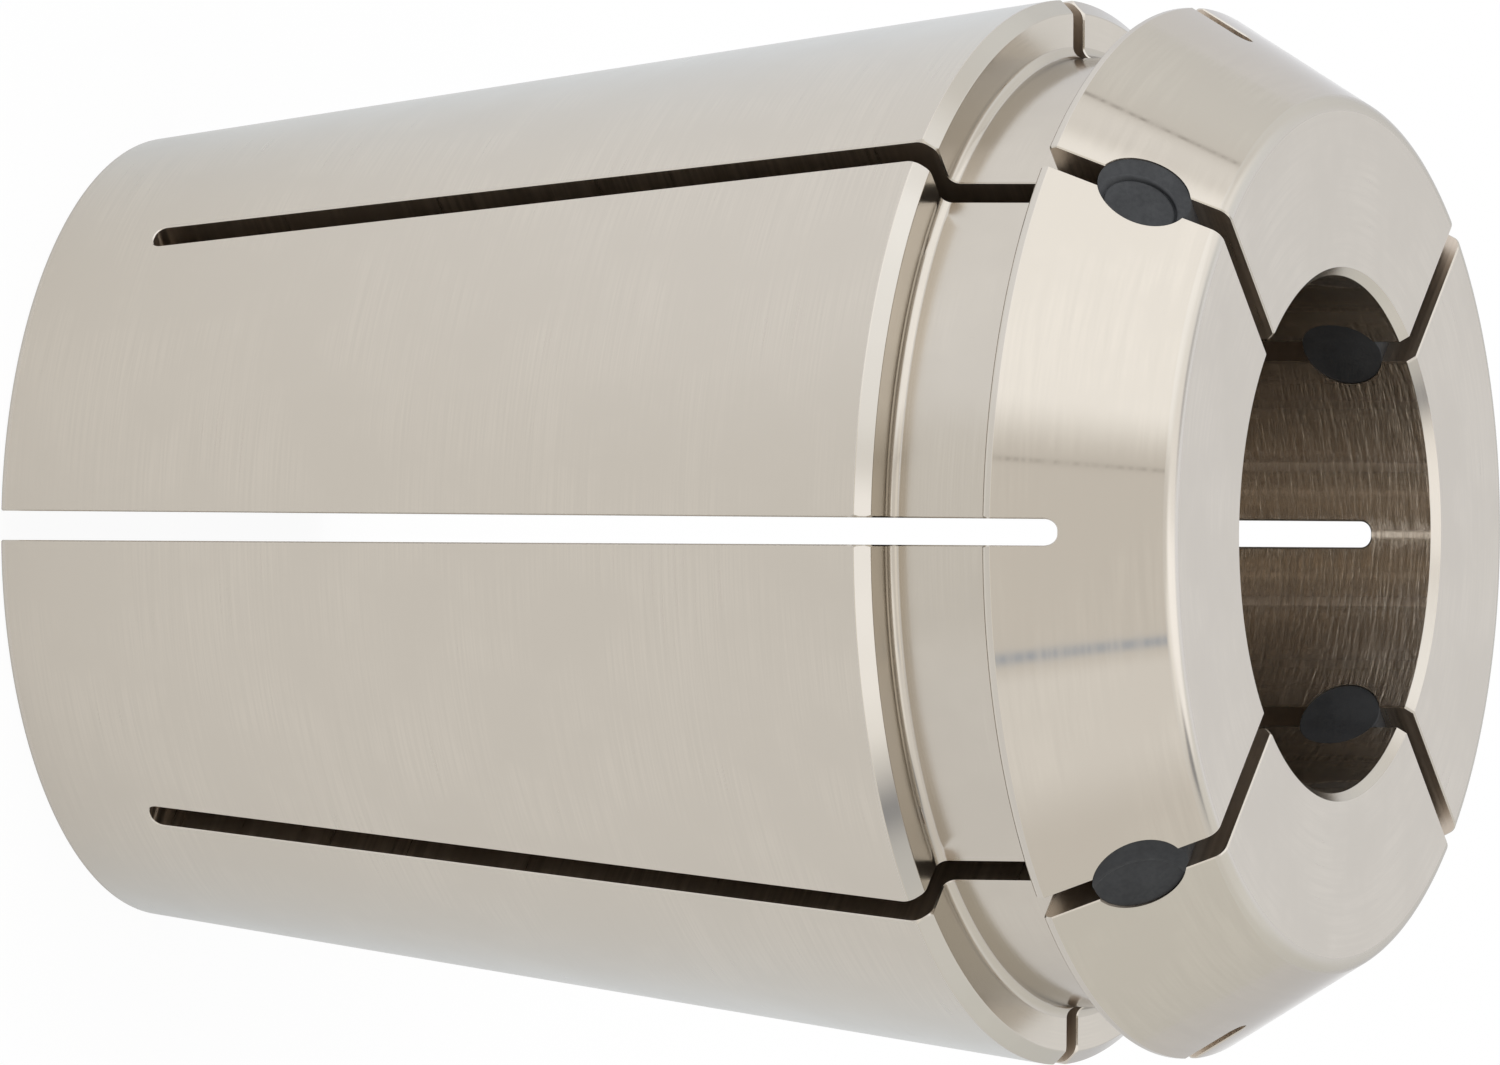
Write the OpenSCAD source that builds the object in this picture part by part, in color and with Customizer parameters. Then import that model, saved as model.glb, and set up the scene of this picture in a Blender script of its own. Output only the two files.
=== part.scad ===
// Sealed tapping collet: a slotted spring-steel sleeve with a slow taper behind,
// a nut groove and a short steep nose in front, and four rubber plugs that close
// the front slots. The origin is the centre of the rear face; +Z runs along the
// axis to the nose face, so the collet stands on its rear end.

/* [Taper body] */
// Length from the rear face to the nose face
overall_length = 40; // [38:0.5:44]
// Largest diameter, at the front end of the taper
large_d = 33; // [32:0.1:34]
// Taper angle to the axis
taper_angle = 8; // [7:0.5:9]
// Length of the taper from the rear face
taper_length = 30.7; // [29:0.1:31]
// Chamfer on the front end of the taper
rim_chamfer = 0.42; // [0.2:0.02:0.6]
// Radius on the rear edge
rear_edge_r = 0.25; // [0.15:0.05:0.5]

/* [Nut groove] */
// Diameter of the neck in the groove
neck_d = 29.4; // [28:0.1:30]
// Width of the groove
groove_width = 3.7; // [3.6:0.01:4.2]
// Fillet in both corners of the groove
groove_fillet = 0.35; // [0.2:0.05:0.5]

/* [Nose] */
// Largest diameter of the nose
nose_d = 32.5; // [32:0.1:33]
// Cylindrical land behind the nose taper
nose_land = 0.28; // [0.2:0.01:0.4]
// Nose taper angle to the axis
nose_angle = 30; // [28:1:32]
// Radius between the nose taper and the face
nose_edge_r = 0.6; // [0.3:0.1:0.8]

/* [Bore] */
// Diameter of the clamping bore
bore_d = 16; // [12:0.5:16]
// Depth of the clamping bore from the nose face
bore_depth = 25; // [20:0.5:26]
// Widening of the bore's lead-in at the face
lead_in = 0.25; // [0.1:0.05:0.4]
// Length of the bore's lead-in
lead_in_length = 0.25; // [0.1:0.05:0.6]
// Size across the flats of the driving square
square_size = 12.6; // [9:0.1:12.6]
// Radius of the countersink at the square's rear mouth
mouth_r = 7.7; // [7:0.1:8]

/* [Slots] */
// Width of the four slots cut from the rear
rear_slot_w = 0.86; // [0.6:0.02:1.2]
// Width of the four slots cut from the nose
front_slot_w = 0.82; // [0.6:0.02:1.2]
// Steel left in front of the rear slots, measured on the axis
front_web = 1.95; // [1.9:0.05:4]
// Steel left behind the front slots, measured on the axis
rear_web = 2.95; // [2:0.05:6]
// Diameter of the wheel that cuts the slots
wheel_d = 200; // [150:10:250]

/* [Seal plugs] */
// Diameter of the rubber plugs
plug_d = 2.58; // [2:0.02:3]
// Distance from the nose face to the plugs' centres
plug_setback = 2.32; // [2.2:0.02:2.6]
// How far the plugs' ends lie under the steel
plug_recess = 0.04; // [0.02:0.01:0.1]

/* [Hidden] */
$fn = 96;
SLOT_PAIRS = 2;             // each pass of a wheel cuts two slots, on opposite sides
FRONT_TURN = 45;            // the front slots lie midway between the rear ones
ARC_STEPS = 6;              // flats in each rounded corner of the outline
EDGE_R = 0.12;              // deburring radius on the other turned edges
LAND_REAR_R = 0.14;         // rounding on the rear edge of the nose
LAND_FRONT_R = 0.06;        // the same where its land meets the taper
REACH = 5;                  // how far cutters run past what they cut
OVERLAP = 0.01;             // how far the square runs into the bore, to leave no skin between them

large_r = large_d / 2;
rear_r = large_r - taper_length * tan(taper_angle);
neck_r = neck_d / 2;
nose_r = nose_d / 2;
bore_r = bore_d / 2;
groove_rear_z = taper_length + rim_chamfer;
groove_front_z = groove_rear_z + groove_width;
nose_taper_z = groove_front_z + nose_land;
face_r = nose_cone_r(overall_length);
bore_floor_z = overall_length - bore_depth;
plug_z = overall_length - plug_setback;

// Radius of the nose taper at height z
function nose_cone_r(z) = nose_r - (z - nose_taper_z) * tan(nose_angle);

// Turned outline, as corners [radius, height, corner rounding], up the outside and down the bore
OUTLINE = [
    [0, 0, 0],
    [rear_r, 0, rear_edge_r],
    [large_r, taper_length, EDGE_R],
    [large_r - rim_chamfer, groove_rear_z, EDGE_R],
    [neck_r, groove_rear_z, groove_fillet],
    [neck_r, groove_front_z, groove_fillet],
    [nose_r, groove_front_z, LAND_REAR_R],
    [nose_r, nose_taper_z, LAND_FRONT_R],
    [face_r, overall_length, nose_edge_r],
    [bore_r + lead_in, overall_length, 0],
    [bore_r, overall_length - lead_in_length, 0],
    [bore_r, bore_floor_z, 0],
    [0, bore_floor_z, 0],
];

function unit(v) = v / norm(v);
function point(corner) = [corner[0], corner[1]];
function turned(v, angle) = [v[0] * cos(angle) - v[1] * sin(angle), v[0] * sin(angle) + v[1] * cos(angle)];

// The points that replace corner b between a and c: an arc of radius b[2] that touches both sides
function corner_arc(a, b, c) =
    b[2] == 0 ? [point(b)] :
    let (
        to_a = unit(point(a) - point(b)),
        to_c = unit(point(c) - point(b)),
        half = acos(to_a * to_c) / 2,
        centre = point(b) + unit(to_a + to_c) * b[2] / sin(half),
        first = point(b) + to_a * b[2] / tan(half),
        sweep = -sign(cross(to_a, to_c)) * (180 - 2 * half)
    )
    [for (i = [0:ARC_STEPS]) centre + turned(first - centre, sweep * i / ARC_STEPS)];

function rounded(corners) = let (n = len(corners)) [
    for (i = [0:n - 1]) each corner_arc(corners[(i + n - 1) % n], corners[i], corners[(i + 1) % n])
];

// The sleeve as it leaves the lathe, with the bore and the countersink at the rear
module turned_blank() {
    difference() {
        rotate_extrude() polygon(rounded(OUTLINE));
        translate([0, 0, -REACH]) cylinder(h = mouth_r + REACH, r1 = mouth_r + REACH, r2 = 0);
    }
}

// The driving square, with its corners on the rear slots and a flat for each rear jaw
module square_hole() {
    rotate([0, 0, FRONT_TURN])
        translate([-square_size / 2, -square_size / 2, -REACH])
            cube([square_size, square_size, bore_floor_z + REACH + OVERLAP]);
}

// A slitting wheel with a half-round rim, standing across the axis and turned about it
module wheel(width, centre_z, turn) {
    rim_centre = wheel_d / 2 - width / 2;
    rotate([0, 0, turn]) translate([0, 0, centre_z]) rotate([90, 0, 0])
        rotate_extrude($fn = 240) {
            translate([0, -width / 2]) square([rim_centre, width]);
            translate([rim_centre, 0]) circle(d = width, $fn = 24);
        }
}

module slots() {
    for (i = [0:SLOT_PAIRS - 1]) {
        wheel(rear_slot_w, overall_length - front_web - wheel_d / 2, 90 * i);
        wheel(front_slot_w, rear_web + wheel_d / 2, FRONT_TURN + 90 * i);
    }
}

// The round of plug i, straight out from the axis through the nose, on its front slot
module plug_round(i) {
    rotate([0, 0, FRONT_TURN + 90 * (i - 1)]) translate([0, 0, plug_z]) rotate([0, 90, 0])
        cylinder(h = nose_r + REACH, d = plug_d);
}

module collet_body() {
    color([0.78, 0.76, 0.72])
        difference() {
            turned_blank();
            square_hole();
            slots();
            for (i = [1:4]) plug_round(i);
        }
}

// The ring of the nose that the plugs fill, from just outside the bore to just under the taper
module plug_zone() {
    low_z = plug_z - plug_d;
    rotate_extrude() polygon([
        [bore_r + plug_recess, low_z],
        [nose_cone_r(low_z) - plug_recess, low_z],
        [nose_cone_r(overall_length) - plug_recess, overall_length],
        [bore_r + plug_recess, overall_length],
    ]);
}

module seal_plug(i) {
    color([0.2, 0.22, 0.24])
        intersection() {
            plug_zone();
            plug_round(i);
        }
}

collet_body();
seal_plug(1);  // seal_plug_1
seal_plug(2);  // seal_plug_2
seal_plug(3);  // seal_plug_3
seal_plug(4);  // seal_plug_4
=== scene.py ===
# The looks of a sealed tapping collet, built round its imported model.
# The collet stands on its rear end at the origin, +Z runs to the nose, and one rear slot faces -Y.
# Lengths are in millimetres until a mesh or the camera is made, where MM turns them into metres. The materials, the
# floor and the lamp are in metres throughout.

import math

import bmesh
import bpy
import numpy as np
from mathutils import Matrix, Vector


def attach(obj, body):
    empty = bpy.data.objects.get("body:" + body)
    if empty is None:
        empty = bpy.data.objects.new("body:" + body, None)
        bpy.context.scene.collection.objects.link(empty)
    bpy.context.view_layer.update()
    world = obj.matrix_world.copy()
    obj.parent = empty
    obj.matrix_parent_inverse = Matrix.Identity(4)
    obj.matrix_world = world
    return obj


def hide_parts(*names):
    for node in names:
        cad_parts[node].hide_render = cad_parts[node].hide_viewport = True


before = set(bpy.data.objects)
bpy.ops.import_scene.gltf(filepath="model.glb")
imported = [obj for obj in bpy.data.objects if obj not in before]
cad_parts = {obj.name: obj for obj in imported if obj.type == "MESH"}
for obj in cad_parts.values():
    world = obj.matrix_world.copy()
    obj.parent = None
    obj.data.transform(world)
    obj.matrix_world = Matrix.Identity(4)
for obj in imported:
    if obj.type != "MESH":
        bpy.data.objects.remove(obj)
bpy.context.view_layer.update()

MM = 0.001

# Sizes of the sleeve, as in the model
LENGTH = 40.0
TAPER_LENGTH = 30.7
TAPER_SLOPE = math.tan(math.radians(8))
LARGE_R = 16.5
REAR_R = LARGE_R - TAPER_LENGTH * TAPER_SLOPE
REAR_EDGE_R = 0.25
RIM_CHAMFER = 0.42
NECK_R = 14.7
GROOVE_FILLET = 0.35
GROOVE_WIDTH = 3.7
NOSE_R = 16.25
NOSE_LAND = 0.28
NOSE_SLOPE = math.tan(math.radians(30))
NOSE_EDGE_R = 0.6
BORE_R = 8.0
BORE_FLOOR = 15.0
LEAD_IN = 0.25
SQUARE = 12.6
MOUTH_R = 7.7
GROOVE_REAR = TAPER_LENGTH + RIM_CHAMFER
GROOVE_FRONT = GROOVE_REAR + GROOVE_WIDTH
NOSE_START = GROOVE_FRONT + NOSE_LAND
FACE_R = NOSE_R - (LENGTH - NOSE_START) * NOSE_SLOPE
# Roundings of the two edges of the rim and of the land, and what they grow to beside the slots
RIM_ROUNDS, DEBURRED_RIM = (0.06, 0.06), (0.5, 0.5)
LAND_ROUNDS, DEBURRED_LAND = (0.14, 0.06), (0.2, 0.1)

# Slots, each cut by a wheel of radius WHEEL_R that stands across the axis: widths at the open and the closed end,
# the height that the wheel reaches, and the rounding of its rim's corners as a share of the width
WHEEL_R = 100.0
WHEEL_CORNER = 0.42
REAR_SLOT_W = (0.92, 0.81)
REAR_SLOT_REACH = 38.05
FRONT_SLOT_W = (0.84, 0.82)
FRONT_SLOT_REACH = 2.95
FRONT_TURN = 45
# How far the slots' edges are broken, and the section of the cutter that does it, in multiples of that:
# (into the steel beside the slot, out from the surface)
BREAK = 0.045
BREAK_SECTION = ((5, 4), (-0.3, 4), (-0.3, -1.3))
# Where the breaks start on the rear face (a radius) and above the bore's floor, for the rear and the front slots
BREAK_FROM_R = 9.3
BREAK_FROM_REAR, BREAK_FROM_FRONT = 2, 1
# A short straight run before the rounded corner at the slot's end, and the rounds in which that end is found
BREAK_LEAD = 0.2
END_ROUNDS = 20

# Seal plugs: the edge of a plug's end lies PLUG_RECESS + PLUG_SINK under the steel, and its middle PLUG_DOME higher
PLUG_R = 1.29
PLUG_Z = 37.68
PLUG_RECESS = 0.02
PLUG_SINK = 0.02
PLUG_RIM = 0.03
PLUG_DOME = 0.04
PLUG_TURNS = [FRONT_TURN + 90 * i for i in range(4)]
# Each plug's outer end was trimmed in two goes. The second left a round with its own radius and centre (across the
# slot, and up), a lip beside it of some height and width, a crease of some depth, a step, and a tongue in the slot
TRIMS = [
    (1.25, 0.75, -0.15, 0.03, 0.08, 0.05, 0.04, 0.05),
    (1.15, 0.70, 0.10, 0.03, 0.06, 0.07, 0.04, 0.04),
    (1.05, 0.63, 0.00, 0.03, 0.06, 0.10, 0.04, 0.02),
    (1.40, 0.82, -0.25, 0.05, 0.11, 0.0, 0.04, 0.07),
]
CREASE_WIDTH = 0.035
STEP_WIDTH = 0.06
# The tongue starts where the sine of the angle round the plug passes TONGUE_SINE, and at a share of the radius
TONGUE_SINE, TONGUE_SINE_FADE = 0.962, 0.025
TONGUE_FROM, TONGUE_FADE = 0.8, 0.2

# Fineness of the meshes, and of the cutters along a slot's diameter and round a plug hole
AROUND = 256
ARC_STEPS = 8
CUT_STEPS = 40
HOLE_STEPS = 64
PLUG_RINGS, PLUG_RIM_RINGS, PLUG_AROUND = 96, 6, 192
# How far from the axis the cutters of slots and holes reach, where a hole's cutter starts, how far a cutter runs past
# the collet's end, and how far the square runs into the bore
CUT_ACROSS = 20
HOLE_FROM = 2
CUT_PAST = 5
OVERLAP = 0.01
# Points of the cut mesh that are closer than this, in metres, are one point
WELD = 5e-8
# Cut faces that meet at less than this angle are shaded as one surface
SMOOTH_ANGLE = math.radians(25)

# Surfaces of the sleeve: each has its own finish
SURFACES = ["rear", "taper", "rim", "wall", "neck", "nose", "face", "edge", "bore", "slot", "square"]


def unit(v):
    v = np.asarray(v, float)
    return v / np.linalg.norm(v)


def cross2(a, b):
    return a[0] * b[1] - a[1] * b[0]


def outline_corners(rim, land):
    """The turned outline: (radius, height, rounding, surface from here to the next corner)."""
    return [
        (0, 0, 0, "rear"),
        (REAR_R, 0, REAR_EDGE_R, "taper"),
        (LARGE_R, TAPER_LENGTH, rim[0], "rim"),
        (LARGE_R - RIM_CHAMFER, GROOVE_REAR, rim[1], "wall"),
        (NECK_R, GROOVE_REAR, GROOVE_FILLET, "neck"),
        (NECK_R, GROOVE_FRONT, GROOVE_FILLET, "wall"),
        (NOSE_R, GROOVE_FRONT, land[0], "edge"),
        (NOSE_R, NOSE_START, land[1], "nose"),
        (FACE_R, LENGTH, NOSE_EDGE_R, "face"),
        (BORE_R + LEAD_IN, LENGTH, 0, "edge"),
        (BORE_R, LENGTH - LEAD_IN, 0, "bore"),
        (BORE_R, BORE_FLOOR, 0, "square"),
        (0, BORE_FLOOR, 0, "square"),
    ]


class Outline:
    """The turned outline with its rounded corners as chords, and for each chord its surface and end normals."""

    def __init__(self, corners):
        self.points, self.surfaces, self.normals = [], [], []
        ends = []
        for i, (r, z, rounding, _) in enumerate(corners):
            here = np.array([r, z], float)
            if rounding == 0:
                ends.append(([here], None))
                continue
            to_a = unit(np.array(corners[i - 1][:2]) - here)
            to_c = unit(np.array(corners[(i + 1) % len(corners)][:2]) - here)
            half = math.acos(np.clip(to_a @ to_c, -1, 1)) / 2
            centre = here + unit(to_a + to_c) * rounding / math.sin(half)
            first = here + to_a * rounding / math.tan(half) - centre
            sweep = -math.copysign(math.pi - 2 * half, cross2(to_a, to_c))
            turns = [sweep * k / ARC_STEPS for k in range(ARC_STEPS + 1)]
            arc = [centre + np.array([first[0] * math.cos(t) - first[1] * math.sin(t),
                                      first[0] * math.sin(t) + first[1] * math.cos(t)]) for t in turns]
            bulge = math.copysign(1, sweep)
            ends.append((arc, [unit(p - centre) * bulge for p in arc]))
        for i, (arc, arc_normals) in enumerate(ends):
            if arc_normals:
                concave = corners[i][3] in ("neck", "wall") and corners[i][0] == NECK_R
                for k in range(ARC_STEPS):
                    self.add(arc[k], "neck" if concave else "edge", arc_normals[k], arc_normals[k + 1])
            here, there = arc[-1], ends[(i + 1) % len(ends)][0][0]
            along = unit(there - here)
            flat = np.array([along[1], -along[0]])
            if i + 1 < len(ends):
                self.add(here, corners[i][3], flat, flat)
            else:
                self.points.append(here)
        self.points = np.array(self.points)

    def add(self, point, surface, normal_a, normal_b):
        self.points.append(point)
        self.surfaces.append(surface)
        self.normals.append((normal_a, normal_b))

    def stretch(self, first, last):
        """The points from one chord to another, with the normals mitred where two chords meet."""
        line, out = [], []
        for i in range(first, last + 1):
            a = self.normals[i - 1][1] if i > first else self.normals[i][0]
            b = self.normals[i][0] if i < last else self.normals[i - 1][1]
            mid = unit(a + b)
            line.append(self.points[i])
            out.append(mid / max(0.5, mid @ a))
        return line, out


OUTLINE = Outline(outline_corners(RIM_ROUNDS, LAND_ROUNDS))
DEBURRED = Outline(outline_corners(DEBURRED_RIM, DEBURRED_LAND))


def new_mesh(name, verts, faces, tag=None):
    """A mesh in metres from points in millimetres. Its tags say which chord or cutter each face came from."""
    me = bpy.data.meshes.new(name)
    me.from_pydata([tuple(c * MM for c in v) for v in verts], [], faces)
    if tag is not None:
        layer = me.attributes.new("source", "INT", "FACE")
        layer.data.foreach_set("value", tag if isinstance(tag, list) else [tag] * len(faces))
    return me


def face_outwards(me):
    """Turns the faces of a closed mesh outwards."""
    bm = bmesh.new()
    bm.from_mesh(me)
    bmesh.ops.recalc_face_normals(bm, faces=bm.faces)
    bm.to_mesh(me)
    bm.free()


def new_object(name, me):
    ob = bpy.data.objects.new(name, me)
    bpy.context.scene.collection.objects.link(ob)
    return ob


def lathe(name, outline):
    """The solid that the outline sweeps about Z. Its first and last points lie on the axis."""
    rings = outline.points[1:-1]
    turns = [2 * math.pi * j / AROUND for j in range(AROUND)]
    verts = [(0, 0, outline.points[0][1])]
    verts += [(r * math.cos(t), r * math.sin(t), z) for r, z in rings for t in turns]
    verts.append((0, 0, outline.points[-1][1]))
    faces, tags = [], []
    for j in range(AROUND):
        k = (j + 1) % AROUND
        faces.append((0, 1 + k, 1 + j))
        tags.append(0)
        for i in range(len(rings) - 1):
            a, b = 1 + i * AROUND, 1 + (i + 1) * AROUND
            faces.append((a + j, a + k, b + k, b + j))
            tags.append(i + 1)
        last = 1 + (len(rings) - 1) * AROUND
        faces.append((last + j, last + k, len(verts) - 1))
        tags.append(len(rings))
    return new_object(name, new_mesh(name, verts, faces, tags))


# Tags of what the cutters leave
TAG_SLOT, TAG_HOLE, TAG_SQUARE, TAG_MOUTH, TAG_BREAK = 1000, 1001, 1002, 1003, 1004


def loft(name, sections, tag):
    """A closed solid through sections of the same number of points."""
    n, m = len(sections), len(sections[0])
    verts = [tuple(p) for s in sections for p in s]
    faces = []
    for i in range(n - 1):
        a, b = i * m, (i + 1) * m
        faces += [(a + j, a + (j + 1) % m, b + (j + 1) % m, b + j) for j in range(m)]
    faces += [tuple(range(m))[::-1], tuple((n - 1) * m + j for j in range(m))]
    me = new_mesh(name, verts, faces, tag)
    face_outwards(me)
    return new_object(name, me)


def turned(points, degrees):
    """Points given as (across the slot, along its diameter, height), set at a turn about the axis."""
    t = math.radians(degrees)
    return [(u * math.cos(t) - x * math.sin(t), u * math.sin(t) + x * math.cos(t), z) for x, u, z in points]


class Slot:
    """A pair of slots that one wheel cuts right across the axis, from the rear or from the nose."""

    def __init__(self, widths, reach, from_rear):
        self.open_half, self.half = widths[0] / 2, widths[1] / 2
        self.corner = widths[1] * WHEEL_CORNER
        self.reach = reach
        self.sign = 1 if from_rear else -1
        self.centre = reach - self.sign * WHEEL_R
        self.open_end = -CUT_PAST if from_rear else LENGTH + CUT_PAST

    def half_at(self, z):
        """Half the slot's width: the jaws stand a little apart at its open end."""
        share = (self.reach - z) / (self.reach - self.open_end)
        return self.half + (self.open_half - self.half) * share

    def rim_height(self, u):
        """Height of the wheel's rim over a point u from the axis."""
        return self.centre + self.sign * math.sqrt(WHEEL_R ** 2 - u ** 2)

    def cutter(self, turn):
        """The wheel's own shape, for the pair of slots at a turn about the axis."""
        sections = []
        for u in np.linspace(-CUT_ACROSS, CUT_ACROSS, CUT_STEPS + 1):
            out = unit([u, self.rim_height(u) - self.centre])
            section = [(-self.open_half, u, self.open_end)]
            for side, turns in ((-1, range(ARC_STEPS + 1)), (1, range(ARC_STEPS, -1, -1))):
                for k in turns:
                    a = math.pi / 2 * k / ARC_STEPS
                    reach = WHEEL_R - self.corner * (1 - math.sin(a))
                    x = side * (self.half - self.corner * (1 - math.cos(a)))
                    section.append((x, reach * out[0], self.centre + reach * out[1]))
            section.append((self.open_half, u, self.open_end))
            sections.append(turned(section, turn))
        return loft("slot_cutter", sections, TAG_SLOT)

    def end_on(self, radius_at, z):
        """The height at which the rim meets a surface whose radius at each height is given, from a first guess z."""
        for _ in range(END_ROUNDS):
            z = self.rim_height(radius_at(z))
        return z

    def edge_cutter(self, line, normals, turn):
        """Breaks the slot's edges along a line of the outline that runs from the open end to the closed one."""
        line, normals = [np.array(p) for p in line], [np.array(n) for n in normals]
        along = unit(line[-1] - line[-2])
        # the wheel meets a slanted surface at an angle, which draws the rounded corner out along it
        meets = unit([line[-1][0], self.rim_height(line[-1][0]) - self.centre])
        corner = along * self.corner / (meets @ along)
        rows = [(self.half_at(p[1]), p, (1, 0), n) for p, n in zip(line[:-1], normals[:-1])]
        last, n = line[-1] - corner, normals[-1]
        rows.append((self.half, last - along * BREAK_LEAD, (1, 0), n))
        for k in range(ARC_STEPS + 1):
            a = math.pi / 2 * k / ARC_STEPS
            x = self.half - self.corner * (1 - math.cos(a))
            rows.append((x, last + corner * math.sin(a), (math.cos(a), math.sin(a)), n))
        rows += [(-x, p, (-s[0], s[1]), n) for x, p, s, n in reversed(rows)]
        sections = []
        for x, p, side, n in rows:
            out = along * side[1]
            section = []
            for s, d in BREAK_SECTION:
                q = p + (out * s + n * d) * BREAK
                section.append((x + side[0] * s * BREAK, q[0], q[1]))
            sections.append(turned(section, turn))
        return loft("edge_cutter", sections, TAG_BREAK)


def nose_radius(z):
    return NOSE_R - (z - NOSE_START) * NOSE_SLOPE


def taper_radius(z):
    return REAR_R + z * TAPER_SLOPE


def slot_edges(slot, from_rear, turn):
    """The cutters that break the outer and inner edges of one slot."""
    taper, nose, bore = (DEBURRED.surfaces.index(s) for s in ("taper", "nose", "bore"))
    if from_rear:
        line, out = DEBURRED.stretch(1, nose)
        line = [np.array([BREAK_FROM_R, 0])] + line
        out = [np.array([0, -1.0])] + out
        z = slot.end_on(nose_radius, LENGTH - 3)
        yield slot.edge_cutter(line + [(nose_radius(z), z)], out + [DEBURRED.normals[nose][0]], turn)
        z = slot.rim_height(BORE_R)
        yield slot.edge_cutter([(BORE_R, BORE_FLOOR + BREAK_FROM_REAR), (BORE_R, z)], [(-1, 0)] * 2, turn)
    else:
        line, out = DEBURRED.stretch(taper + 1, bore)
        line = [np.array([BORE_R, BORE_FLOOR + BREAK_FROM_FRONT])] + line[::-1]
        out = [np.array([-1.0, 0])] + out[::-1]
        z = slot.end_on(taper_radius, 3.5)
        yield slot.edge_cutter(line + [(taper_radius(z), z)], out + [DEBURRED.normals[taper][0]], turn)


def prism(name, outline, low, high, tag):
    """A solid with a flat outline between two heights."""
    return loft(name, [[(x, y, z) for x, y in outline] for z in (low, high)], tag)


def plug_hole(turn):
    """The cutter for the hole of one plug, from inside the bore to outside the nose."""
    angles = [2 * math.pi * k / HOLE_STEPS for k in range(HOLE_STEPS)]
    sections = [turned([(PLUG_R * math.cos(b), u, PLUG_Z + PLUG_R * math.sin(b)) for b in angles], turn)
                for u in (HOLE_FROM, CUT_ACROSS)]
    return loft("hole_cutter", sections, TAG_HOLE)


def cut(body, cutters):
    """Takes the cutters away from the body and removes them."""
    for c in cutters:
        mod = body.modifiers.new("cut", "BOOLEAN")
        mod.operation = "DIFFERENCE"
        mod.solver = "MANIFOLD"
        mod.object = c
    dg = bpy.context.evaluated_depsgraph_get()
    me = bpy.data.meshes.new_from_object(body.evaluated_get(dg))
    body.modifiers.clear()
    bm = bmesh.new()
    bm.from_mesh(me)
    bmesh.ops.remove_doubles(bm, verts=bm.verts, dist=WELD)
    bm.to_mesh(me)
    bm.free()
    body.data = me
    for c in cutters:
        bpy.data.objects.remove(c)


def smooth_normals(me):
    """True normals of the turned surfaces, and flat or gently smoothed ones on what the cutters left."""
    n_loops, n_polys = len(me.loops), len(me.polygons)
    co = np.empty(len(me.vertices) * 3)
    me.vertices.foreach_get("co", co)
    co = co.reshape(-1, 3) / MM
    loop_vertex = np.empty(n_loops, int)
    me.loops.foreach_get("vertex_index", loop_vertex)
    starts, totals = np.empty(n_polys, int), np.empty(n_polys, int)
    me.polygons.foreach_get("loop_start", starts)
    me.polygons.foreach_get("loop_total", totals)
    flat = np.empty(n_polys * 3)
    me.polygons.foreach_get("normal", flat)
    flat = flat.reshape(-1, 3)
    area = np.empty(n_polys)
    me.polygons.foreach_get("area", area)
    tags = np.empty(n_polys, int)
    me.attributes["source"].data.foreach_get("value", tags)
    loop_poly = np.repeat(np.arange(n_polys), totals)
    order = np.concatenate([np.arange(s, s + t) for s, t in zip(starts, totals)])
    poly_of_loop = np.empty(n_loops, int)
    poly_of_loop[order] = loop_poly
    normals = flat[poly_of_loop].copy()

    tag = tags[poly_of_loop]
    turned_loops = tag < TAG_SLOT
    chord = tag[turned_loops]
    p = co[loop_vertex[turned_loops]]
    radius = np.hypot(p[:, 0], p[:, 1])
    at = np.stack([radius, p[:, 2]], 1)
    a, b = OUTLINE.points[chord], OUTLINE.points[chord + 1]
    share = np.clip(((at - a) * (b - a)).sum(1) / ((b - a) ** 2).sum(1), 0, 1)[:, None]
    ends = np.array(OUTLINE.normals)
    n2 = ends[chord, 0] * (1 - share) + ends[chord, 1] * share
    n2 /= np.linalg.norm(n2, axis=1)[:, None]
    around = p[:, :2] / np.maximum(radius, 1e-6)[:, None]
    normals[turned_loops] = np.concatenate([around * n2[:, :1], n2[:, 1:]], 1)

    cut_loops = np.nonzero(~turned_loops)[0]
    by_vertex = {}
    for i in cut_loops:
        by_vertex.setdefault(loop_vertex[i], []).append(i)
    for group in by_vertex.values():
        polys = poly_of_loop[group]
        n = flat[polys]
        near = (n @ n.T > math.cos(SMOOTH_ANGLE)) & (tags[polys][:, None] == tags[polys][None, :])
        mixed = (near * area[polys][None, :]) @ n
        length = np.linalg.norm(mixed, axis=1)[:, None]
        normals[group] = np.where(length > 1e-12, mixed / np.maximum(length, 1e-12), n)
    me.polygons.foreach_set("use_smooth", [True] * n_polys)
    me.normals_split_custom_set([tuple(v) for v in normals])
    return tags


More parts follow.
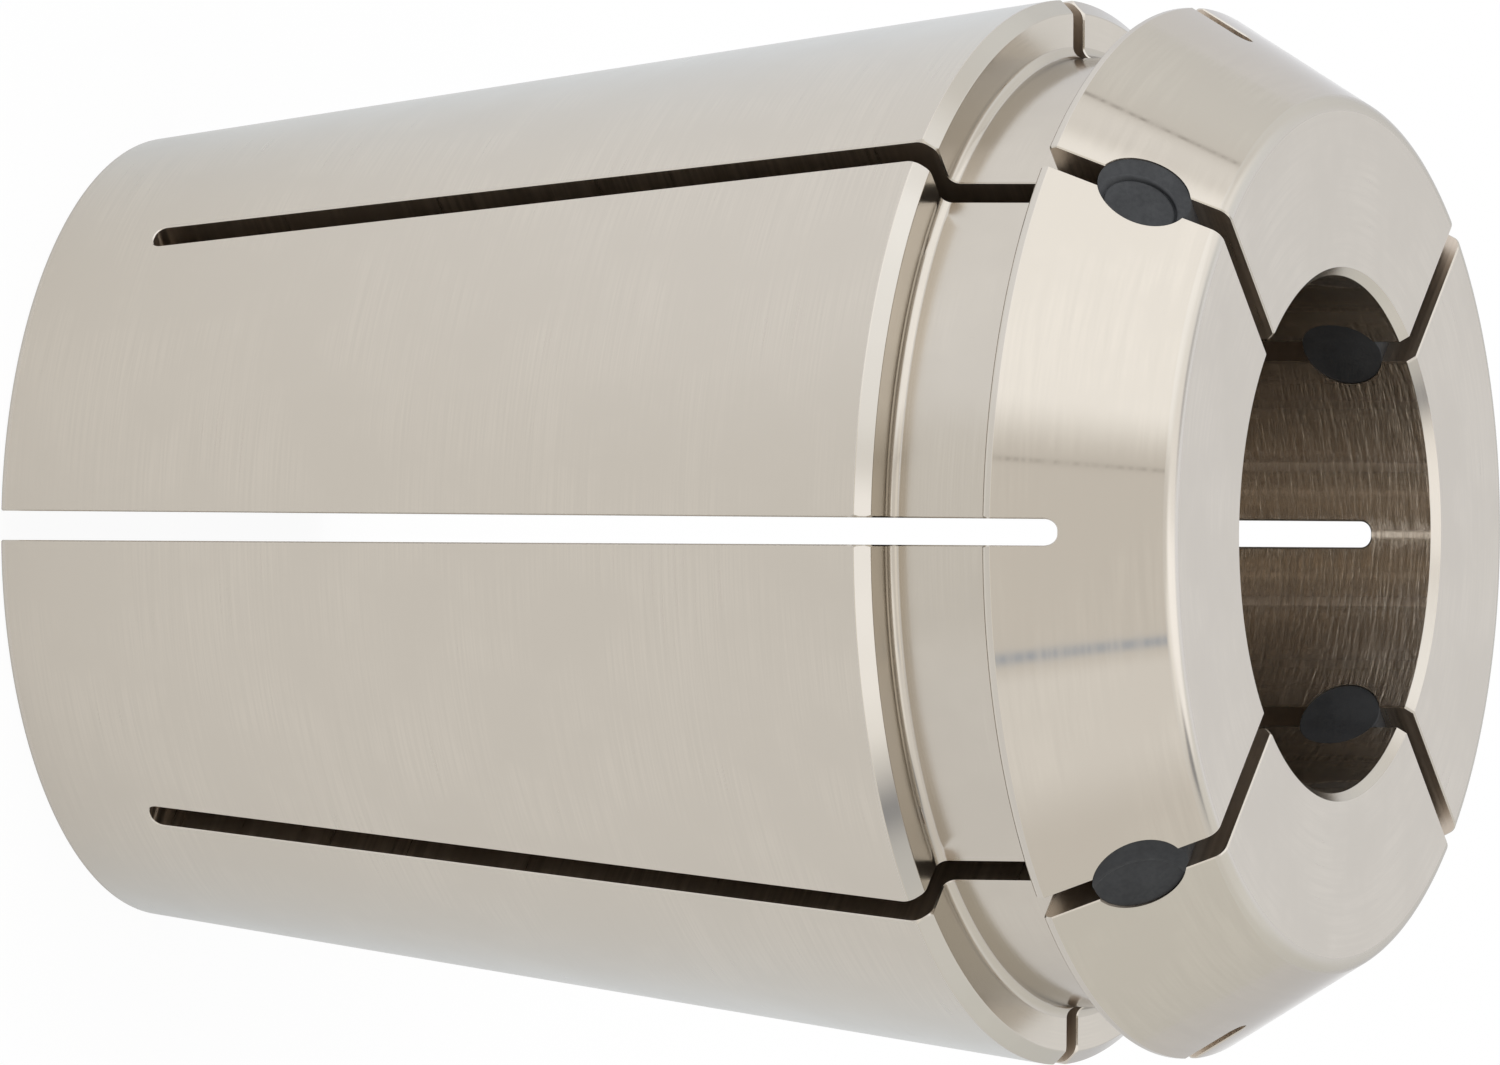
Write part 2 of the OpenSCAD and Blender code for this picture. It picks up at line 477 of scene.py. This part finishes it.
def build_body(materials):
    """The steel sleeve: the turned blank, less its square, countersink, slots, edge breaks and plug holes."""
    body = lathe("collet_steel", OUTLINE)
    half = SQUARE / 2 * math.sqrt(2)
    corners = [(half, 0), (0, half), (-half, 0), (0, -half)]
    cutters = [
        prism("square_cutter", corners, -CUT_PAST, BORE_FLOOR + OVERLAP, TAG_SQUARE),
        loft("mouth_cutter", [[((MOUTH_R - z) * math.cos(t), (MOUTH_R - z) * math.sin(t), z)
                               for t in np.linspace(0, 2 * math.pi, AROUND, endpoint=False)]
                              for z in (-1, MOUTH_R - 1)], TAG_MOUTH),
    ]
    rear = Slot(REAR_SLOT_W, REAR_SLOT_REACH, True)
    front = Slot(FRONT_SLOT_W, FRONT_SLOT_REACH, False)
    for slot, first in ((rear, 0), (front, FRONT_TURN)):
        cutters += [slot.cutter(first + 90 * i) for i in range(2)]
        for i in range(4):
            cutters += slot_edges(slot, slot is rear, first + 90 * i)
    cutters += [plug_hole(t) for t in PLUG_TURNS]
    cut(body, cutters)
    tags = smooth_normals(body.data)
    body.data.materials.clear()
    for s in SURFACES:
        body.data.materials.append(materials[s])
    of_tag = {TAG_SLOT: "slot", TAG_HOLE: "slot", TAG_SQUARE: "square", TAG_MOUTH: "square", TAG_BREAK: "edge"}
    index = [SURFACES.index(of_tag[t] if t >= TAG_SLOT else OUTLINE.surfaces[t]) for t in tags.tolist()]
    body.data.polygons.foreach_set("material_index", index)
    return body


def rise(value, width):
    """From 0 to 1 as value goes from 0 to width, smoothly."""
    share = min(1.0, max(0.0, value / width))
    return share * share * (3 - 2 * share)


def plug_end(rho, b, trim):
    """A point of a plug's end, at radius rho and angle b round the plug's own axis: (across the slot, out from the
    collet's axis, height). The outer end has a trim, and the inner end none."""
    edge = max(0.0, (rho - (PLUG_R - PLUG_RIM)) / PLUG_RIM)
    dome = PLUG_DOME * (1 - (rho / PLUG_R) ** 2) - PLUG_RIM * (1 - math.sqrt(max(0.0, 1 - edge ** 2)))
    if trim is None:
        x, dz = rho * math.cos(b), rho * math.sin(b)
        return (x, math.sqrt(BORE_R ** 2 - x * x) + PLUG_RECESS + PLUG_SINK - dome, PLUG_Z + dz)
    radius, across, up, lip, lip_width, crease, step, tongue = trim
    share = rise(math.sin(b) - TONGUE_SINE, TONGUE_SINE_FADE)
    drawn_out = 1 + tongue / PLUG_R * share * rise(rho - TONGUE_FROM * PLUG_R, TONGUE_FADE * PLUG_R)
    x, dz = rho * math.cos(b), rho * math.sin(b) * drawn_out
    inside = radius - math.hypot(x - across, dz - up)
    dome += lip * math.exp(-((inside + lip_width) / lip_width) ** 2)
    dome -= crease * math.exp(-((inside - CREASE_WIDTH) / CREASE_WIDTH) ** 2) + step * rise(inside, STEP_WIDTH)
    return (x, math.sqrt(nose_radius(PLUG_Z + dz) ** 2 - x * x) - PLUG_RECESS - PLUG_SINK + dome, PLUG_Z + dz)


def plug_mesh(turn, trim):
    """A rubber plug with its ends cut to the nose and the bore, each a little domed."""
    around = PLUG_AROUND
    radii = [(PLUG_R - PLUG_RIM) * k / PLUG_RINGS for k in range(1, PLUG_RINGS + 1)]
    radii += [PLUG_R - PLUG_RIM + PLUG_RIM * math.sin(math.pi / 2 * k / PLUG_RIM_RINGS)
              for k in range(1, PLUG_RIM_RINGS + 1)]
    rings = len(radii)
    verts, faces = [], []
    for end_trim in (trim, None):
        base = len(verts)
        verts += turned([plug_end(0, 0, end_trim)], turn)
        for rho in radii:
            verts += turned([plug_end(rho, 2 * math.pi * j / around, end_trim) for j in range(around)], turn)
        for j in range(around):
            n = (j + 1) % around
            faces.append((base, base + 1 + j, base + 1 + n))
            for k in range(rings - 1):
                a, b = base + 1 + k * around, base + 1 + (k + 1) * around
                faces.append((a + j, b + j, b + n, a + n))
    size = 1 + rings * around
    a, b = 1 + (rings - 1) * around, size + 1 + (rings - 1) * around
    faces += [(a + j, b + j, b + (j + 1) % around, a + (j + 1) % around) for j in range(around)]
    return verts, faces


def build_plug(index, turn, trim, material):
    """The rubber plug in the hole at a turn about the axis."""
    verts, faces = plug_mesh(turn, trim)
    me = new_mesh(f"plug_rubber_{index}", verts, faces)
    face_outwards(me)
    me.polygons.foreach_set("use_smooth", [True] * len(me.polygons))
    me.materials.append(material)
    return new_object(f"plug_rubber_{index}", me)


class Nodes:
    """A short way to write a node tree. An input is a value or the output that feeds it."""

    def __init__(self, tree):
        self.tree = tree
        tree.nodes.clear()

    def add(self, kind, inputs=None, **settings):
        node = self.tree.nodes.new(kind)
        for name, value in settings.items():
            setattr(node, name, value)
        for name, value in (inputs or {}).items():
            socket = node.inputs[name]
            if isinstance(value, bpy.types.NodeSocket):
                self.tree.links.new(value, socket)
            else:
                socket.default_value = value
        return node

    def math(self, operation, a, b=0.0, c=0.0):
        return self.add("ShaderNodeMath", {0: a, 1: b, 2: c}, operation=operation).outputs[0]

    def mix(self, share, a, b):
        node = self.add("ShaderNodeMix", data_type="RGBA")
        for socket, value in ((node.inputs[0], share), (node.inputs[6], a), (node.inputs[7], b)):
            if isinstance(value, bpy.types.NodeSocket):
                self.tree.links.new(value, socket)
            else:
                socket.default_value = value
        return node.outputs[2]

    def ramp(self, value, low, high, to_low=0.0, to_high=1.0):
        return self.add("ShaderNodeMapRange", {0: value, 1: low, 2: high, 3: to_low, 4: to_high},
                        interpolation_type="SMOOTHSTEP").outputs[0]

    def noise(self, vector, scale, detail, roughness):
        return self.add("ShaderNodeTexNoise", {"Vector": vector, "Scale": scale, "Detail": detail,
                                               "Roughness": roughness}).outputs[0]


def new_material(name):
    mat = bpy.data.materials.new(name)
    mat.use_nodes = True
    return mat, Nodes(mat.node_tree)


# Noise: detail and roughness of the tool's lines, and scale (per metre), detail and roughness of the rest
LINE_NOISE = (3.0, 0.6)
STAIN_NOISE = (300.0, 3.0, 0.55)
RUBBER_FINE_NOISE = (6000.0, 4.0, 0.6)
RUBBER_BROAD_NOISE = (900.0, 2.0, 0.5)


def round_lines(n, pitch, run):
    """Noise drawn out round the axis: lines pitch metres apart, each about run turns of a circle long."""
    place = n.add("ShaderNodeTexCoord").outputs["Object"]
    x, y, z = n.add("ShaderNodeSeparateXYZ", {0: place}).outputs
    radius = n.math("SQRT", n.math("ADD", n.math("MULTIPLY", x, x), n.math("MULTIPLY", y, y)))
    around = 1 / (2 * math.pi * run)
    across = n.math("MULTIPLY", n.math("ADD", z, radius), 1 / pitch)
    vector = n.add("ShaderNodeCombineXYZ", {
        0: n.math("MULTIPLY", n.math("DIVIDE", x, radius), around),
        1: n.math("MULTIPLY", n.math("DIVIDE", y, radius), around), 2: across}).outputs[0]
    return n.noise(vector, 1.0, *LINE_NOISE)


def wheel_lines(n, pitch, run):
    """Noise drawn out across the axis, as a slitting wheel leaves it: lines pitch metres apart and about run long."""
    place = n.add("ShaderNodeTexCoord").outputs["Object"]
    stretched = n.add("ShaderNodeVectorMath", {0: place, 1: (1 / run, 1 / run, 1 / pitch)}, operation="MULTIPLY")
    return n.noise(stretched.outputs[0], 1.0, *LINE_NOISE)


# The steel's colour, its tint at a grazing angle, and that of the ground taper
WARM = (0.585, 0.54, 0.475)
EDGE_TINT = (0.75, 0.75, 0.76, 1)
TAPER_TINT = (0.88, 0.93, 0.98, 1)


def steel(name, colour, roughness, anisotropy=0.7, pitch=0.00006, run=0.05, tone=0.02, relief=4e-7, mottle=0.02,
          vary=0.02, polish=None, lines=round_lines, tint=EDGE_TINT):
    """Ground or turned steel with fine lines and faint stains. The lines have a pitch and a run, a share of colour
    that they add and take away (tone), a change of roughness (vary) and a height (relief). The stains take away the
    share mottle. Where the steel is partly polished, polish gives the least and the greatest share of smooth metal
    between the lines, and its roughness."""
    mat, n = new_material(name)
    place = n.add("ShaderNodeTexCoord").outputs["Object"]
    fine = lines(n, pitch, run)
    broad = n.noise(place, *STAIN_NOISE)
    dark, light = (tuple(c * k for c in colour) + (1,) for k in (1 - tone, 1 + tone))
    base = n.mix(n.ramp(fine, 0.3, 0.7), dark, light)
    base = n.mix(n.ramp(broad, 0.35, 0.65), base, tuple(c * (1 - mottle) for c in colour) + (1,))
    rough = n.math("ADD", n.ramp(fine, 0.25, 0.75, -vary, vary),
                   n.ramp(broad, 0.3, 0.7, roughness - 0.01, roughness + 0.01))
    bump = n.add("ShaderNodeBump", {"Height": fine, "Strength": 1.0, "Distance": relief})
    tangent = n.add("ShaderNodeTangent", direction_type="RADIAL", axis="Z")
    shader = n.add("ShaderNodeBsdfPrincipled", {
        "Base Color": base, "Metallic": 1.0, "Roughness": rough, "Specular Tint": tint,
        "Anisotropic": anisotropy, "Anisotropic Rotation": 0.25, "Normal": bump.outputs[0],
        "Tangent": tangent.outputs[0]})
    if polish:
        least, greatest, smooth = polish
        bright = n.add("ShaderNodeBsdfPrincipled", {
            "Base Color": base, "Metallic": 1.0, "Roughness": smooth, "Specular Tint": EDGE_TINT})
        shader = n.add("ShaderNodeMixShader", {
            0: n.ramp(fine, 0.3, 0.7, least, greatest), 1: shader.outputs[0], 2: bright.outputs[0]})
    n.add("ShaderNodeOutputMaterial", {0: shader.outputs[0]})
    return mat


def rubber(name):
    """Matt black rubber with a fine grain."""
    mat, n = new_material(name)
    place = n.add("ShaderNodeTexCoord").outputs["Object"]
    fine = n.noise(place, *RUBBER_FINE_NOISE)
    broad = n.noise(place, *RUBBER_BROAD_NOISE)
    base = n.mix(n.ramp(broad, 0.3, 0.7), (0.0125, 0.0138, 0.0158, 1), (0.021, 0.0228, 0.0252, 1))
    rough = n.ramp(fine, 0.3, 0.7, 0.5, 0.68)
    bump = n.add("ShaderNodeBump", {"Height": fine, "Strength": 0.25, "Distance": 0.00002})
    shader = n.add("ShaderNodeBsdfPrincipled", {
        "Base Color": base, "Roughness": rough, "Specular IOR Level": 0.45, "Normal": bump.outputs[0]})
    n.add("ShaderNodeOutputMaterial", {0: shader.outputs[0]})
    return mat


def body_materials():
    """A material for each surface of the sleeve."""
    return {
        "rear": steel("steel_rear", WARM, 0.3),
        "taper": steel("steel_taper", WARM, 0.3, 0.6, pitch=0.00009, tone=0.035, tint=TAPER_TINT),
        "rim": steel("steel_rim", (0.60, 0.568, 0.515), 0.14, 0.8, relief=1.2e-6, tone=0.03),
        "wall": steel("steel_wall", (0.665, 0.615, 0.54), 0.2),
        "neck": steel("steel_neck", WARM, 0.15, mottle=0.04),
        "nose": steel("steel_nose", WARM, 0.1, 0.8, pitch=0.0001, tone=0.028, vary=0.04),
        "face": steel("steel_face", (0.64, 0.595, 0.53), 0.3, 0.3, pitch=0.00014, tone=0.03, mottle=0.04),
        "edge": steel("steel_edge", (0.605, 0.565, 0.505), 0.21, 0.3, tone=0.01),
        "bore": steel("steel_bore", (0.69, 0.605, 0.505), 0.21, 1.0, pitch=0.00015, run=0.022, tone=0.28,
                      relief=3.6e-5, polish=(0.1, 0.7, 0.05)),
        "slot": steel("steel_slot", (0.62, 0.54, 0.455), 0.32, 0.0, pitch=0.00016, run=0.012, tone=0.14,
                      relief=2e-6, vary=0.05, lines=wheel_lines),
        "square": steel("steel_square", WARM, 0.4, 0.0, pitch=0.0003, tone=0.1),
    }


WHITE = (1, 1, 1, 1)
# The floor: half its side, how far it lies under the collet, its paint, and how far the camera and the steel see it
# as plain white instead
FLOOR_HALF = 4.0
FLOOR_DROP = 0.00002
FLOOR_PAINT = (0.82, 0.82, 0.82, 1)
FLOOR_SEEN_WHITE, FLOOR_MIRRORED_WHITE = 0.95, 0.6
# Painted light and shade that only the steel sees on it: painted light on the left, and painted shade some way in
# front and far off to the right
FLOOR_PAINTED_LIGHT_LEFT, FLOOR_PAINTED_SHADE_AHEAD, FLOOR_PAINTED_SHADE_RIGHT = (1.10, 1.12, 1.17, 1), (0.80, 0.79, 0.77, 1), (0.87, 0.87, 0.88, 1)


def build_floor():
    """A plain pale floor with the collet's soft shadow. The camera sees it as a white backdrop, and the steel as a
    white backdrop with painted light on the left and painted shade in front and far off to the right.
    """
    corners = [(x * FLOOR_HALF, y * FLOOR_HALF, -FLOOR_DROP) for x, y in ((-1, -1), (1, -1), (1, 1), (-1, 1))]
    me = bpy.data.meshes.new("floor")
    me.from_pydata(corners, [], [(0, 1, 2, 3)])
    mat, n = new_material("floor_white")
    path = n.add("ShaderNodeLightPath").outputs
    seen = n.math("MAXIMUM", path["Is Camera Ray"], path["Is Transmission Ray"])
    lift = n.math("MAXIMUM", n.math("MULTIPLY", seen, FLOOR_SEEN_WHITE),
                  n.math("MULTIPLY", path["Is Glossy Ray"], FLOOR_MIRRORED_WHITE))
    paint = n.add("ShaderNodeBsdfDiffuse", {"Color": FLOOR_PAINT})
    x, y, _ = n.add("ShaderNodeSeparateXYZ", {0: n.add("ShaderNodeTexCoord").outputs["Object"]}).outputs
    # painted light: for the steel, the floor glows lighter on the left
    painted_reflection = n.mix(n.ramp(x, -0.005, -0.05), WHITE, FLOOR_PAINTED_LIGHT_LEFT)
    # painted shade: for the steel, the floor glows darker some way in front of the collet
    painted_shade_ahead = n.math("MULTIPLY", n.ramp(y, -0.06, -0.085), n.ramp(n.math("ABSOLUTE", x), 0.055, 0.03))
    painted_reflection = n.mix(painted_shade_ahead, painted_reflection, FLOOR_PAINTED_SHADE_AHEAD)
    # painted shade: for the steel, the floor glows darker far off to the right
    far = n.ramp(n.math("ADD", n.math("MULTIPLY", x, x), n.math("MULTIPLY", y, y)), 0.0045, 0.0085)
    painted_reflection = n.mix(n.math("MULTIPLY", far, n.ramp(x, 0.035, 0.06)), painted_reflection, FLOOR_PAINTED_SHADE_RIGHT)
    # the glow is plain white for the camera, and carries the painted light and shade for the steel
    glow = n.add("ShaderNodeEmission", {
        "Color": n.mix(path["Is Glossy Ray"], WHITE, painted_reflection), "Strength": 1.0})
    both = n.add("ShaderNodeMixShader", {0: lift, 1: paint.outputs[0], 2: glow.outputs[0]})
    clear = n.add("ShaderNodeBsdfTransparent")
    under = n.add("ShaderNodeNewGeometry").outputs["Backfacing"]
    shader = n.add("ShaderNodeMixShader", {0: under, 1: both.outputs[0], 2: clear.outputs[0]})
    n.add("ShaderNodeOutputMaterial", {0: shader.outputs[0]})
    me.materials.append(mat)
    floor = new_object("floor", me)


# The light tent round the collet. Azimuth runs from -Y towards -X, in degrees; each part of the tent is
# (azimuth from, softness, azimuth to, softness, elevation from, softness, elevation to, softness, colour)
TENT = (0.90, 0.88, 0.85)
TENT_PARTS = [
    # the wall behind, cooler to the middle and lighter above
    (108, 14, 245, 20, -90, 1, 24, 8, (0.97, 0.98, 0.98)),
    (130, 14, 236, 14, 26, 10, 66, 8, (1.04, 1.07, 1.11)),
    (172, 8, 190, 10, 26, 8, 66, 8, (1.12, 1.14, 1.22)),
    # what stands round the camera, low down
    (-40, 12, 40, 10, 8, 6, 25, 4, (1.12, 1.09, 1.04)),
    # the right-hand side
    (-160, 10, -88, 10, -90, 1, 30, 8, (0.88, 0.88, 0.85)),
    (-165, 10, -108, 10, 34, 8, 64, 8, (0.96, 0.96, 0.94)),
    (-66, 10, -34, 3, 10, 10, 44, 6, (1.05, 1.04, 1.03)),
    (-70, 10, -18, 8, 46, 6, 66, 6, (1.28, 1.26, 1.24)),
    # the roof, brighter on the right
    (-180, 1, 180, 1, 64, 6, 91, 1, (1.19, 1.17, 1.16)),
    (-182, 8, 19, 9, 63, 5, 91, 1, (1.49, 1.48, 1.49)),
    # the left-hand light and what spills past it
    (30, 8, 99, 6, 50, 8, 66, 6, (1.27, 1.27, 1.28)),
    (26, 8, 99, 5, -20, 5, 55, 7, (1.40, 1.41, 1.43)),
    (99, 4, 108, 3, -20, 5, 32, 6, (1.12, 1.12, 1.13)),
    (99, 5, 134, 16, 34, 6, 68, 8, (1.25, 1.25, 1.26)),
    # its frame, a stand in front and two openings in the roof
    (16.9, 0.3, 17.8, 0.3, -10, 5, 45, 3, (0.62, 0.60, 0.57)),
    (108.6, 0.3, 109.5, 0.3, -10, 5, 28, 3, (0.55, 0.53, 0.51)),
    (-31.2, 1.2, -28.8, 1.2, 26, 6, 42, 3, (0.57, 0.63, 0.73)),
    (-108, 9, -78, 5, 46.5, 4, 63, 4, (0.26, 0.27, 0.30)),
    (-104, 5, -84, 5, 38, 5, 50, 4, (0.80, 0.80, 0.79)),
    (148, 7, 171, 4, 52, 6, 68, 4, (0.62, 0.62, 0.64)),
]


def build_world():
    """The tent as the world's light. The camera sees white instead."""
    world = bpy.data.worlds.new("tent")
    bpy.context.scene.world = world
    world.use_nodes = True
    n = Nodes(world.node_tree)
    direction = n.add("ShaderNodeTexCoord").outputs["Generated"]
    x, y, z = n.add("ShaderNodeSeparateXYZ", {0: direction}).outputs
    azimuth = n.math("ARCTAN2", n.math("MULTIPLY", x, -1.0), n.math("MULTIPLY", y, -1.0))
    elevation = n.math("ARCSINE", z)

    def band(value, low, low_soft, high, high_soft):
        """1 where a direction lies between two angles, in degrees, fading to 0 past each over its softness."""
        middle, half = (low + high) / 2, (high - low) / 2
        off = n.math("SUBTRACT", value, math.radians(middle))
        if value is azimuth:
            off = n.math("WRAP", off, math.pi, -math.pi)
        from_low = n.ramp(off, math.radians(-half - low_soft), math.radians(-half + low_soft))
        to_high = n.ramp(off, math.radians(half + high_soft), math.radians(half - high_soft))
        return n.math("MULTIPLY", from_low, to_high)

    colour = TENT + (1,)
    for az0, az0_soft, az1, az1_soft, el0, el0_soft, el1, el1_soft, tint in TENT_PARTS:
        share = band(elevation, el0, el0_soft, el1, el1_soft)
        if az1 - az0 < 360:
            share = n.math("MULTIPLY", share, band(azimuth, az0, az0_soft, az1, az1_soft))
        colour = n.mix(share, colour, tint + (1,))
    camera = n.add("ShaderNodeLightPath").outputs["Is Camera Ray"]
    colour = n.mix(camera, colour, WHITE)
    back = n.add("ShaderNodeBackground", {"Color": colour, "Strength": 1.0})
    n.add("ShaderNodeOutputWorld", {0: back.outputs[0]})


def build_lamp():
    """A soft lamp low on the left. It lights the floor and the rubber; the steel shows the tent instead."""
    lamp = bpy.data.lights.new("left_lamp", "AREA")
    lamp.shape = "RECTANGLE"
    lamp.size, lamp.size_y = 0.3, 0.2
    lamp.energy = 0.45
    ob = bpy.data.objects.new("left_lamp", lamp)
    bpy.context.scene.collection.objects.link(ob)
    place = Vector((-0.34, -0.12, 0.24))
    ob.matrix_world = Matrix.Translation(place) @ place.to_track_quat("Z", "Y").to_matrix().to_4x4()
    ob.visible_glossy = False


# The camera: a long lens that looks down at the standing collet, rolled on its side. The focal length is in pixels of
# the picture, the sensor's width and the distance to the point aimed at in millimetres
FOCAL_PIXELS = 26224.5
PICTURE_WIDTH = 1500
SENSOR = 36.0
DISTANCE = 817.0
ELEVATION = math.radians(23.48)
ROLL = math.radians(0.389)
AIM = (0.0685, 0.0, 20.12)


def build_camera():
    cam = bpy.data.cameras.new("camera")
    cam.sensor_width = SENSOR
    cam.lens = FOCAL_PIXELS / PICTURE_WIDTH * SENSOR
    cam.clip_start, cam.clip_end = 0.01, 50.0
    ob = bpy.data.objects.new("camera", cam)
    bpy.context.scene.collection.objects.link(ob)
    s, c = math.sin(ELEVATION), math.cos(ELEVATION)
    back = Vector((0, -c, s))
    along, across = Vector((0, s, c)), Vector((-1, 0, 0))
    right = along * math.cos(ROLL) + across * math.sin(ROLL)
    up = across * math.cos(ROLL) - along * math.sin(ROLL)
    place = (Vector(AIM) + back * DISTANCE) * MM
    ob.matrix_world = Matrix((
        (right.x, up.x, back.x, place.x),
        (right.y, up.y, back.y, place.y),
        (right.z, up.z, back.z, place.z),
        (0, 0, 0, 1)))
    bpy.context.scene.camera = ob


build_camera()
build_world()
build_lamp()
build_floor()

body = build_body(body_materials())
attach(body, "root")
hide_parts("collet_body")

plug_material = rubber("seal_rubber")
for i, (turn, trim) in enumerate(zip(PLUG_TURNS, TRIMS)):
    plug = build_plug(i + 1, turn, trim, plug_material)
    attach(plug, "root")
    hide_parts(f"seal_plug_{i + 1}")

bpy.context.scene.view_settings.view_transform = "Standard"
